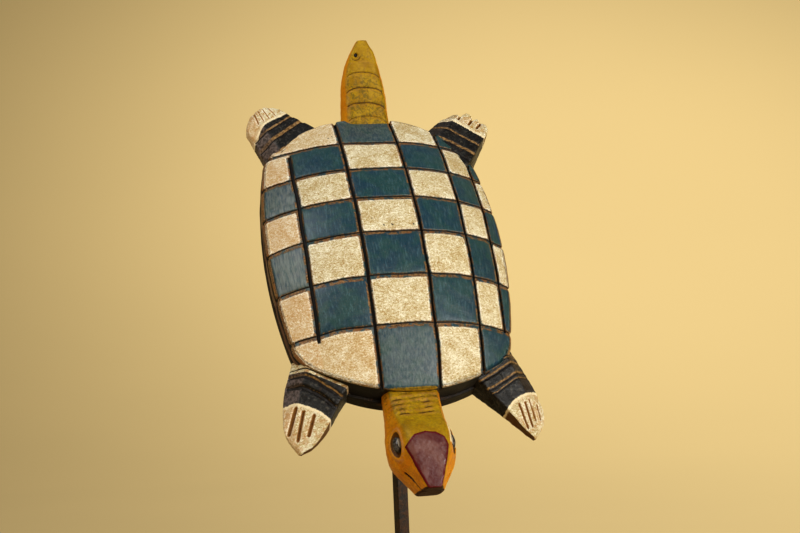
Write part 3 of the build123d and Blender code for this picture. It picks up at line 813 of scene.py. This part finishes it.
def make_belly(material):
    """The underside's board: a wall that goes on from the carapace's, a worn edge and a chiselled face."""
    angle = np.linspace(-math.pi, math.pi, BELLY_AROUND, endpoint=False)
    edge_points, out = outline_points(plan_outline("belly_board"), angle)
    flank = ramp(np.abs(out[:, 0]), 0.45, 0.9)
    radius = 2.5 + 6.5 * flank
    rows, worn = [], []

    def add_ring(plan, height, wear):
        rows.append(np.column_stack([plan, height * np.ones(BELLY_AROUND)]))
        worn.append(wear * np.ones(BELLY_AROUND))

    add_ring(edge_points - out * 0.8, SEAM_Z + SEAM_LAP, 0.4)
    for share in np.linspace(0, 1, 8):
        height = SEAM_Z + (BELLY_Z + radius - SEAM_Z) * share
        ripple = 0.2 * wobble(np.column_stack([edge_points, height]), 16, 9)
        inset = 0.3 + 0.5 * flank * (1 - ramp(share, 0, 0.15)) + ripple
        add_ring(edge_points - out * inset[:, None], height, 0.15)
    for turn in np.linspace(0, math.pi / 2, 9)[1:]:
        inset = 0.3 + radius * (1 - math.cos(turn))
        height = BELLY_Z + radius * (1 - math.sin(turn))
        add_ring(edge_points - out * inset[:, None], height, 0.42 * math.sin(2 * turn))
    brink = rows[-1][:, :2]
    for share in np.linspace(1, 0, 60)[1:-1]:
        plan = brink * share
        chisel = 0.16 * wobble(plan * (1, 0.35), 9, 10) + 0.12 * wobble(plan, 30, 11)
        add_ring(plan, BELLY_Z + np.minimum(chisel + 0.12, 0.3) * ramp(1 - share, 0, 0.06), 0.0)
    points, faces = close_rings(np.array(rows), (0, 0, SEAM_Z + SEAM_LAP), (0, 0, BELLY_Z))
    fields = {
        "worn": np.append(np.array(worn).ravel(), [0, 0]),
        "under": 1 - ramp(points[:, 2], BELLY_Z + 0.4, BELLY_Z + 1.4),
    }
    make_piece("belly_board_carved", points, faces, material, fields, ["belly_board"])


# ---- Legs ----

FRONT_HEIGHTS = ((-36, -37, -52, -62), (-55, -55.5, -58, -61))
REAR_HEIGHTS = ((-35, -36, -50, -62), (-40, -39, -46, -58))
LEG_INSIDE = 12.0
LEG_FLARE = 4.0
STATION = 0.6  # between the rings along a leg, the head and the tail
# Points along the top, the outer slope, the outer wall, the sole and the inner wall
LEG_SIDES = (56, 30, 16, 36, 22)
# Distances are along the leg from its root and outwards from its middle line.
# reach: along, inwards, outwards.
# A cut is its depth, the widths of its gold band and of its dark band of painted shade, and points of
# (outwards, along) on its line.
# foot and root: the lines where the cream paint begins and ends. slots: (along, outwards) of both ends.
LEGS = {
    "leg_front_right": dict(
        root=(-73, -115), tip=(-96.4, -180), heights=FRONT_HEIGHTS,
        reach=((0, 31, 25.5), (20, 24.5, 25.3), (40, 19, 21.8), (55, 13, 16.5), (64, 7.5, 8.5), (69, 2, 2)),
        cuts=(
            (0.8, 0.0, 1.3, ((-24, 5), (0, 2), (24, -0.5))),
            (1.6, 1.5, 2.2, ((-20, 17), (-14, 14.3), (3, 8.5), (22, 6.3))),
            (2.3, 0.5, 3.2, ((-18, 25.5), (-13, 22.3), (6, 16.3), (24, 15.3))),
        ),
        foot=((-19, 38.5), (-8, 33.5), (0.6, 32), (13, 31), (24, 34)),
        root_paint=((-24, 10), (0, 5.8), (24, 3.4)),
        slots=(((35.5, 13.1), (56.4, 13.3)), ((37, 6), (60.5, 4.8)), ((38, -3.2), (54.5, -3))),
        slot_size=(1.6, 2.6), outer=1.0, scallop=0.0,
    ),
    "leg_front_left": dict(
        root=(77, -116), tip=(103, -181), heights=FRONT_HEIGHTS,
        reach=((0, 29, 25.5), (20, 20.5, 25.5), (40, 12, 24), (55, 6.5, 20), (64, 3, 13), (70, 0, 3)),
        cuts=(
            (1.1, 1.7, 0.9, ((-18, 0.3), (16, -3.2))),
            (1.2, 1.7, 1.3, ((-15.5, 10.3), (16, 5.5))),
            (1.2, 1.6, 1.3, ((-12.5, 19), (16, 14.7))),
            (0.8, 0.9, 0.8, ((-17, 3.6), (16, 0.2))),
            (0.9, 1.0, 0.9, ((-11, 23.5), (8, 19.8))),
        ),
        foot=((-17, 43), (-11.4, 40), (-2, 35.5), (16.4, 34), (25, 34.5)),
        root_paint=None,
        slots=(((40, 2), (61, -1)), ((41, 7.5), (61, 3.5)), ((40, 12.5), (58, 9)), ((46, 18), (58, 14.5))),
        slot_size=(1.0, 2.2), outer=0.25, scallop=0.0,
    ),
    "leg_rear_right": dict(
        root=(-67, 116), tip=(-89, 159), heights=REAR_HEIGHTS,
        reach=((0, 35, 27.5), (16, 27, 25.2), (31, 18.5, 23), (42, 12, 20.5), (49, 4, 12)),
        cuts=(
            (1.1, 1.5, 1.2, ((-25, 4.7), (24.6, -1))),
            (1.2, 2.8, 1.4, ((-19, 17.8), (20.6, 12.6))),
            (1.1, 1.6, 1.4, ((-16, 28), (16.5, 24.5))),
        ),
        foot=((-17, 32.5), (13, 29.8), (21.5, 23.5), (27, 21)),
        root_paint=None,
        slots=(((36, 13), (50, 9)), ((36, 7), (50, 5)), ((36, 1), (50, 0)), ((36, -6), (49, -5))),
        slot_size=(0.55, 1.0), outer=1.0, scallop=0.5,
    ),
    "leg_rear_left": dict(
        root=(77, 109), tip=(103.7, 144.6), heights=REAR_HEIGHTS,
        reach=((0, 28, 29), (22, 24.5, 25), (33, 23, 20.5), (40, 21, 17), (44.5, 15, 10)),
        cuts=(
            (1.0, 0.0, 1.6, ((-15, -3), (38, -5.8))),
            (1.2, 2.2, 1.4, ((-13, 5.7), (37, 3.4))),
            (1.1, 1.6, 1.3, ((-11.5, 17.9), (33, 19.1))),
        ),
        foot=((-16, 28.5), (8, 28.9), (31, 23.5)),
        root_paint=None,
        slots=(
            ((35.5, -2.9), (47, -3.5)), ((35, 8), (46, 8.5)), ((35, 18), (44, 19)), ((36, -11), (47, -12)),
        ),
        slot_size=(1.2, 3.2), outer=0.2, scallop=2.2,
    ),
}


def segment_distance(along, side, ends):
    """Distance in the plane from places to the segment between two ends."""
    (a0, b0), (a1, b1) = ends
    length = (a1 - a0) ** 2 + (b1 - b0) ** 2
    share = np.clip(((along - a0) * (a1 - a0) + (side - b0) * (b1 - b0)) / length, 0, 1)
    return np.hypot(along - a0 - share * (a1 - a0), side - b0 - share * (b1 - b0))


def make_leg(name, leg, material):
    """A leg: a tube of five sides, cut across by gold-lined grooves and slotted between the toes."""
    root, tip = np.array(leg["root"], float), np.array(leg["tip"], float)
    ahead = (tip - root) / np.linalg.norm(tip - root)
    outwards = np.array([-ahead[1], ahead[0]])
    outwards *= np.sign(outwards @ root)
    length = leg["reach"][-1][0]
    along = np.arange(-LEG_INSIDE, length + 0.01, STATION)
    share = np.clip(along / length, 0, 1)[:, None]
    reach_in, reach_out = smooth_through(along, leg["reach"]).T
    at_root, at_tip = np.array(leg["heights"], float)
    top, ridge, brow, sole = (at_root * (1 - share) + at_tip * share).T
    flare = LEG_FLARE * (1 - share[:, 0])
    corners = np.stack([
        np.stack([flare - reach_in, top], -1),
        np.stack([0.5 * reach_out, ridge], -1),
        np.stack([reach_out, brow], -1),
        np.stack([reach_out - 0.5 * flare, sole], -1),
        np.stack([-reach_in, sole], -1),
    ], axis=1)
    section = round_ring(join_corners(corners, LEG_SIDES), 2)
    rings = np.concatenate([np.broadcast_to(along[:, None, None], section.shape[:2] + (1,)), section], axis=2)
    normal = outward_normals(rings)
    on_top = ramp(normal[..., 2], 0.1, 0.45)
    upwards = -1 if "front" in name else 1
    s, out = rings[..., 0], rings[..., 1]

    def along_line(line):
        return smooth_through(out.ravel(), line)[:, 0].reshape(s.shape)

    nothing = np.full(s.shape, -9.0)
    depth, gold, dark, slot = np.zeros_like(s), nothing, nothing, nothing
    for cut_depth, gold_width, dark_width, line in leg["cuts"]:
        up = upwards * (s - along_line(line)) + 0.25 * wobble(rings, 14, 21)
        bends = (-0.6 - dark_width, -dark_width, -0.3, 0.4 + gold_width, 1 + gold_width)
        groove = np.interp(up, bends, (0, 1, 1, 0.12, 0))
        depth = np.maximum(depth, cut_depth * groove * on_top)
        gold = np.maximum(gold, gold_width / 2 - np.abs(up - gold_width / 2 + 0.2) - 9 * (gold_width == 0))
        # The dark band: painted shade on the groove's deep side.
        dark = np.maximum(dark, dark_width / 2 - np.abs(up + dark_width / 2 + 0.1))
    slot_half, slot_depth = leg["slot_size"]
    for ends in leg["slots"]:
        away = segment_distance(s, out, ends)
        depth = np.maximum(depth, slot_depth * (1 - ramp(away, 0.3 * slot_half, 1.4 * slot_half)) * on_top)
        slot = np.maximum(slot, slot_half - away)
    # Toes swell between the slots, and their tips stand out past the slots' ends
    toes = ramp(s, length - 26, length - 12) * on_top
    depth = depth - 0.5 * toes * ramp(-slot, 0.5, 3.0)
    stretch = leg["scallop"] * ramp(s, length - 8, length) * (ramp(-slot, 0.0, 3.0) - 0.5)
    depth = depth - 0.22 * wobble(rings, 11, 22) - 0.1 * wobble(rings, 4.5, 23)
    rings = rings - normal * depth[..., None]
    rings[..., 0] += stretch
    side = np.broadcast_to(np.arange(section.shape[1]), s.shape)
    first, last = LEG_SIDES[0], sum(LEG_SIDES[:3])
    fields = {
        "foot": s - along_line(leg["foot"]),
        "gold": np.where(on_top > 0.3, gold, -9),
        "dark": np.where(on_top > 0.3, dark, -9),
        "slot": np.where(on_top > 0.2, slot, -9),
        "outer": leg["outer"] * ramp(side, first - 2, first + 3) * (1 - ramp(side, last - 4, last)),
        "under": ramp(side, last - 6, last),
        "root": nothing,
    }
    if leg["root_paint"]:
        fields["root"] = along_line(leg["root_paint"]) - s
    points, faces, fields = close_tube(rings, fields, 1.5)
    plan = root + points[:, :1] * ahead + points[:, 1:2] * outwards
    points = np.column_stack([plan, points[:, 2]])
    make_piece(f"{name}_carved", points, faces, material, fields, [name])


# ---- Head, eyes and tail ----

# Distance from the crown towards the head, then the half width and height of the top, the cheeks and the
# underside
HEAD_SECTIONS = (
    (134, 20, -34.5, 25, -43, 22, -60), (136, 20, -34, 25, -43, 22, -60), (165, 19, -27, 26, -43, 23, -61),
    (191, 17, -12, 30, -40, 25, -61), (206, 16, -14, 27, -41, 22, -60), (221, 12, -17, 16.5, -42, 13.5, -58),
    (235, 7, -20, 8.5, -40, 6.5, -54), (239, 5.5, -21.5, 6.5, -39, 5, -51),
)
HEAD_SIDES = (50, 46, 26, 36, 26, 46)
JAW_LEAN = 2.0  # how far the jaw leans to the turtle's left at the snout
SNOUT_TOP, SNOUT_CHIN = (237.0, -18.0), (227.0, -56.0)
MOUTH_FROM, MOUTH_CORNER_Z, MOUTH_RISE = 212.0, -36.4, 2.6
EYE_PLACE = (24.0, -193.0, -27.0)
EYE_SLOPE = math.radians(65)
EYE_HALF_AXES = np.array([8.0, 5.0])
EYE_SHRINK = 0.84  # the painted stud is a little smaller than its mortise
EYE_STEM = 5.0
EYE_SUNK, EYE_DOME = -0.8, 2.6  # where the stud's dome starts, from the socket's face, and its height
NECK_RIDGES = (142.0, 169.0)
SHIELD = ((-19, -200), (-17.5, -205), (-12, -220), (-5.8, -235), (-3.8, -237.5), (4.5, -237.5), (7, -233),
          (11, -221), (15, -208.8), (16.4, -202), (13.5, -195.5), (7, -191.2), (-2, -189.8), (-11.3, -192.2))
# Distance from the crown towards the tail, the middle's x, the ridge's half width and height, the flanks'
# half width and the underside's height
TAIL_SECTIONS = (
    (130, 3.6, 19, -32, 23.6, -58), (134, 3.6, 18.5, -30, 23.2, -57), (160, 3.6, 17.2, -20, 21.8, -48),
    (180, 2.9, 14, -10, 19.2, -37), (195, 3.4, 9.5, -2, 13, -26), (203.5, 3.6, 4.5, 1.5, 7, -14),
)
TAIL_SIDES = (50, 26, 26, 40, 26, 26)
TAIL_RINGS = ((139.5, 0.7), (151.8, 1.0), (164.6, 0.9), (177.3, 0.8), (187.5, 0.35))  # place and depth
TAIL_DOT = (-3.3, 191.2)


def inside_distance(x, y, corners):
    """How far places are inside a convex outline, negative outside it."""
    corners = np.array(corners, float)
    sides = np.roll(corners, -1, axis=0) - corners
    middle = corners.mean(axis=0)
    gaps = []
    for (cx, cy), (dx, dy) in zip(corners, sides / np.linalg.norm(sides, axis=1, keepdims=True)):
        turn = np.sign(dx * (middle[1] - cy) - dy * (middle[0] - cx))
        gaps.append(turn * (dx * (y - cy) - dy * (x - cx)))
    return np.min(gaps, axis=0)


def eye_frame(side):
    """Place of an eye and its directions along the head, across it and out of it."""
    out = np.array([side * math.sin(EYE_SLOPE), 0, math.cos(EYE_SLOPE)])
    along = np.array([0, -1.0, 0])
    return np.array([side * EYE_PLACE[0], *EYE_PLACE[1:]]), along, np.cross(out, along), out


def make_head(material):
    """Neck and head: wavy cuts over the neck, a plate on the brow, carved eye sockets and a slit mouth."""
    ahead = np.arange(134, 239.01, STATION)
    top_x, top, cheek_x, cheek, under_x, under = smooth_through(ahead, HEAD_SECTIONS).T
    pairs = (
        (-top_x, top), (top_x, top), (cheek_x, cheek), (under_x, under), (-under_x, under), (-cheek_x, cheek),
    )
    corners = np.stack([np.stack(pair, -1) for pair in pairs], axis=1)
    corners[:, 2:, 0] += JAW_LEAN * ramp(ahead, 200, 222)[:, None]
    section = round_ring(join_corners(corners, HEAD_SIDES), 6)
    y = np.broadcast_to(-ahead[:, None], section.shape[:2])
    rings = np.stack([section[..., 0], y, section[..., 1]], -1)
    normal = outward_normals(rings)
    x, y, z = (rings[..., k] for k in range(3))
    on_top = ramp(normal[..., 2], 0.3, 0.7)
    shield = np.where(on_top > 0.02, inside_distance(x, y, SHIELD), -9)
    depth = -0.55 * ramp(shield, -0.4, 0.5) - 0.2 * wobble(rings, 16, 31) - 0.1 * wobble(rings, 5, 32)

    start, end = NECK_RIDGES
    faint = np.clip(0.62 + 0.5 * wobble(rings, 12, 34), 0.15, 1)
    on_neck = faint * ramp(-y, start - 2, start + 3) * (1 - ramp(-y, end - 4, end + 3))
    on_neck = on_neck * ramp(normal[..., 2], 0.1, 0.6)
    wave = -y + 0.9 * wobble(rings[..., :2] * (1, 0.4), 22, 33) + 0.05 * x
    ridge = 0.5 + 0.5 * np.cos(2 * math.pi * wave / 5.4)
    depth += 0.95 * on_neck * (1 - ridge ** 0.7)

    cut, rubbed = on_neck * ramp(1 - ridge, 0.72, 0.95) * 0.8, on_neck * ramp(ridge, 0.5, 0.9)
    for side in (-1, 1):
        place, along, across, out = eye_frame(side)
        away = rings - place
        a, b = away @ along / EYE_HALF_AXES[0], away @ across / EYE_HALF_AXES[1]
        near = (np.abs(away @ out) < 9) & (normal @ out > 0.2)
        ring = np.where(near, np.hypot(a, b), 9)
        depth += 1.9 * (1 - ramp(ring, 0.95, 1.45)) - 0.8 * hill(ring, 1.6, 0.4)
        cut = np.maximum(cut, 1 - ramp(ring, 1.2, 1.6))
        rubbed = np.maximum(rubbed, 1.6 * hill(ring, 1.75, 0.35))
        if side > 0:
            spot = hill(ring, 1.75, 0.6) * ramp(a, 0.9, 0.3)

    mouth = np.abs(z - MOUTH_CORNER_Z - MOUTH_RISE * ramp(-y, MOUTH_FROM, 236) - 0.3 * np.sin(y / 3))
    in_mouth = ramp(-y, MOUTH_FROM, MOUTH_FROM + 4)
    depth += 2.6 * in_mouth * (1 - ramp(mouth, 1.0, 2.1))
    rings = rings - normal * depth[..., None]
    (top_y, top_z), (chin_y, chin_z) = SNOUT_TOP, SNOUT_CHIN
    limit = top_y + (rings[..., 2] - top_z) * (top_y - chin_y) / (top_z - chin_z)
    past = -rings[..., 1] - limit
    soft = 0.8
    rings[..., 1] += soft * np.log1p(np.exp(np.clip(past / soft, -30, 30)))
    fields = {
        "shield": shield, "cut": cut, "rubbed": rubbed, "cream_spot": spot,
        "side": 1 - ramp(normal[..., 2], 0.25, 0.75),
        "grime": 0.35 + 0.65 * on_neck,
        "snout": ramp(past, -2.2, -0.4) * ramp(-y, 222, 226),
        "dark": in_mouth * (1 - ramp(mouth, 1.3, 2.0)),
    }
    points, faces, fields = close_tube(rings, fields, 0.3)
    make_piece("head_carved", points, faces, material, fields, ["head"])


def make_tail(material):
    """Tail: a blunt wedge with rings cut over its back and a carved dot near the tip."""
    ahead = np.arange(130, 203.51, STATION)
    middle, ridge_x, top, flank_x, under = smooth_through(ahead, TAIL_SECTIONS).T
    waist = (top + under) / 2
    pairs = (
        (-ridge_x, top), (ridge_x, top), (flank_x, waist), (ridge_x, under), (-ridge_x, under),
        (-flank_x, waist),
    )
    corners = np.stack([np.stack([middle + reach, height], -1) for reach, height in pairs], axis=1)
    section = round_ring(join_corners(corners, TAIL_SIDES), 7)
    y = np.broadcast_to(ahead[:, None], section.shape[:2])
    rings = np.stack([section[..., 0], y, section[..., 1]], -1)
    normal = outward_normals(rings)
    x = rings[..., 0]
    on_top = ramp(normal[..., 2], 0.35, 0.7) * ramp(x, -16, -13)
    depth = -0.2 * wobble(rings, 15, 41) - 0.1 * wobble(rings, 5, 42)
    cut, ledge = np.zeros_like(x), np.zeros_like(x)
    for place, strength in TAIL_RINGS:
        gap = y - place + 0.011 * (x - 2) ** 2 + 0.3 * wobble(rings, 18, 43)
        groove = np.interp(gap, (-1.8, -0.4, 0.2, 0.8), (0, 0.9, 1.0, 0))
        depth += 1.1 * strength * groove * on_top
        cut = np.maximum(cut, strength * hill(gap, 0.1, 0.9) * on_top)
        ledge = np.maximum(ledge, 0.8 * strength * hill(gap, -1.6, 1.2))
    away = np.hypot(x - TAIL_DOT[0], y - TAIL_DOT[1])
    arc = hill(away, 4.2, 0.9) * ramp(TAIL_DOT[1] - y, 0, 2) * on_top
    dot = (1 - ramp(away, 1.3, 2.3)) * on_top
    depth += 1.2 * dot + 0.6 * arc
    rings = rings - normal * depth[..., None]
    fields = {
        "shield": np.full(x.shape, -9.0), "cream_spot": 0 * x, "snout": 0 * x,
        "cut": np.maximum(cut, 0.8 * arc), "rubbed": np.maximum(0.5 * hill(x, -13, 3), ledge) * on_top,
        "side": 1 - on_top, "grime": on_top * (1 - ramp(y, 170, 182)), "dark": dot,
    }
    points, faces, fields = close_tube(rings, fields, 2.2)
    make_piece("tail_carved", points, faces, material, fields, ["tail"])


def make_eye(side, name, material):
    """An eye stud: an oval dome on a short stem."""
    place, along, across, out = eye_frame(side)
    around = 72
    turn = np.linspace(0, 2 * math.pi, around, endpoint=False)
    half_length, half_width = EYE_HALF_AXES
    oval = np.outer(np.cos(turn), along) * half_length + np.outer(np.sin(turn), across) * half_width
    levels = [(1, -EYE_STEM), (1, -3), (1, -1.6), (1, EYE_SUNK)]
    for t in np.linspace(0, math.pi / 2, 16)[1:-1]:
        levels.append((math.cos(t), EYE_SUNK + EYE_DOME * math.sin(t)))
    rings = np.array([place + oval * EYE_SHRINK * share + out * height for share, height in levels])
    rings += 0.12 * wobble(rings, 3, 51)[..., None] * out
    points, faces = close_rings(rings, place - out * EYE_STEM, place + out * (EYE_DOME + EYE_SUNK))
    away = points - place
    a, b = away @ along / EYE_HALF_AXES[0], away @ across / EYE_HALF_AXES[1] * side
    # crescent: where the eye's painted highlight goes
    crescent = ramp(-b, 0.35, 0.8) * ramp(np.hypot(a, b), 0.5, 0.8)
    make_piece(f"{name}_carved", points, faces, material, {"crescent": crescent}, [name])


# ---- The stand's nodes keep their shapes ----


def give(material, *nodes):
    for node in nodes:
        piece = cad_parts[node]
        piece.data.materials.clear()
        piece.data.materials.append(material)


give(iron_paint(), "stand_bar")
give(base_paint(), "base_block")
give(felt_cloth(), "base_felt")
brass = metal("brass", (140, 104, 52), (206, 168, 96), 0.25, 0.5)
give(brass, "socket_tube", "thrust_washer")
give(metal("zinc", (140, 144, 148), (198, 202, 206), 0.3, 0.5), "plate_washer", "clamp_nut")
give(peg_wood(), "neck_peg", "tail_peg", "leg_pegs", "board_dowels")

make_carapace(tile_paint())
make_belly(belly_paint())
leg_material = leg_paint()
for leg_name, leg in LEGS.items():
    make_leg(leg_name, leg, leg_material)
yellow = yellow_paint()
make_head(yellow)
make_tail(yellow)
eye_material = eye_paint()
make_eye(-1, "eye_right", eye_material)
make_eye(1, "eye_left", eye_material)

# ---- Studio ----

BOWL_FLAT = 1.5  # radius of the flat floor, in metres
BOWL_CURVE = 2.6
BOWL_HEIGHT = 4.0


def make_bowl(material):
    """A round floor that curves up into a wall, so that no view shows a horizon."""
    turns = np.linspace(0, math.pi / 2, 24)
    rim = [(BOWL_FLAT + BOWL_CURVE * math.sin(t), BOWL_CURVE * (1 - math.cos(t))) for t in turns]
    rim.append((BOWL_FLAT + BOWL_CURVE, BOWL_HEIGHT))
    around = 128
    angle = np.linspace(0, 2 * math.pi, around, endpoint=False)
    rings = [np.column_stack([r * np.cos(angle), r * np.sin(angle), np.full(around, z)]) for r, z in rim]
    points = np.concatenate(rings + [[[0, 0, 0]]])
    faces = [f[::-1] for f in ring_faces(len(rim), around)] + fan_faces(0, around, len(points) - 1)
    mesh_object("bowl", points, faces, material)


def softbox(name, place, size, power, spread=180):
    """A square white soft light in metres, watts and degrees, turned to the turtle's middle."""
    light = bpy.data.lights.new(name, "AREA")
    light.shape = "SQUARE"
    light.size = size
    light.energy = power
    light.spread = math.radians(spread)
    lamp = add_object(name, light)
    lamp.location = middle + Vector(place)
    lamp.rotation_euler = (middle - lamp.location).to_track_quat("-Z", "Y").to_euler()


make_bowl(sand_paper())
middle = Vector(ORIGIN) * MM
softbox("front", (0.5, -1.75, 0.9), 0.65, 7)
softbox("left", (-1.15, -0.45, 1.3), 0.9, 13)
softbox("low", (1.1, -1.4, 0.12), 0.5, 3.1, 80)

scene.view_settings.view_transform = "Standard"
scene.view_settings.look = "Medium High Contrast"
world = bpy.data.worlds.new("studio")
world.use_nodes = True
world.node_tree.nodes["Background"].inputs["Color"].default_value = (0.94, 0.97, 1.0, 1.0)
world.node_tree.nodes["Background"].inputs["Strength"].default_value = 0.22
scene.world = world

CAMERA_TURN = math.radians(-13.29)
CAMERA_ROLL = math.radians(2.5)
CAMERA_DISTANCE = 1550.0
CAMERA_SHIFT = (6.15, -33.89)  # of the camera, to its right and up, from straight before the crown
flat_right = Vector((math.cos(CAMERA_TURN), math.sin(CAMERA_TURN), 0))
back = Vector((math.sin(CAMERA_TURN), -math.cos(CAMERA_TURN), 0))
upright = Vector((0, 0, 1))
camera_right = flat_right * math.cos(CAMERA_ROLL) - upright * math.sin(CAMERA_ROLL)
camera_up = flat_right * math.sin(CAMERA_ROLL) + upright * math.cos(CAMERA_ROLL)
place = Vector(ORIGIN) + camera_right * CAMERA_SHIFT[0] + camera_up * CAMERA_SHIFT[1] + back * CAMERA_DISTANCE
camera_data = bpy.data.cameras.new("camera")
camera_data.sensor_width = 36
camera_data.lens = 81.6
camera = add_object("camera", camera_data)
turned = Matrix((camera_right, camera_up, back)).transposed()
camera.matrix_world = Matrix.Translation(place * MM) @ turned.to_4x4()
scene.camera = camera
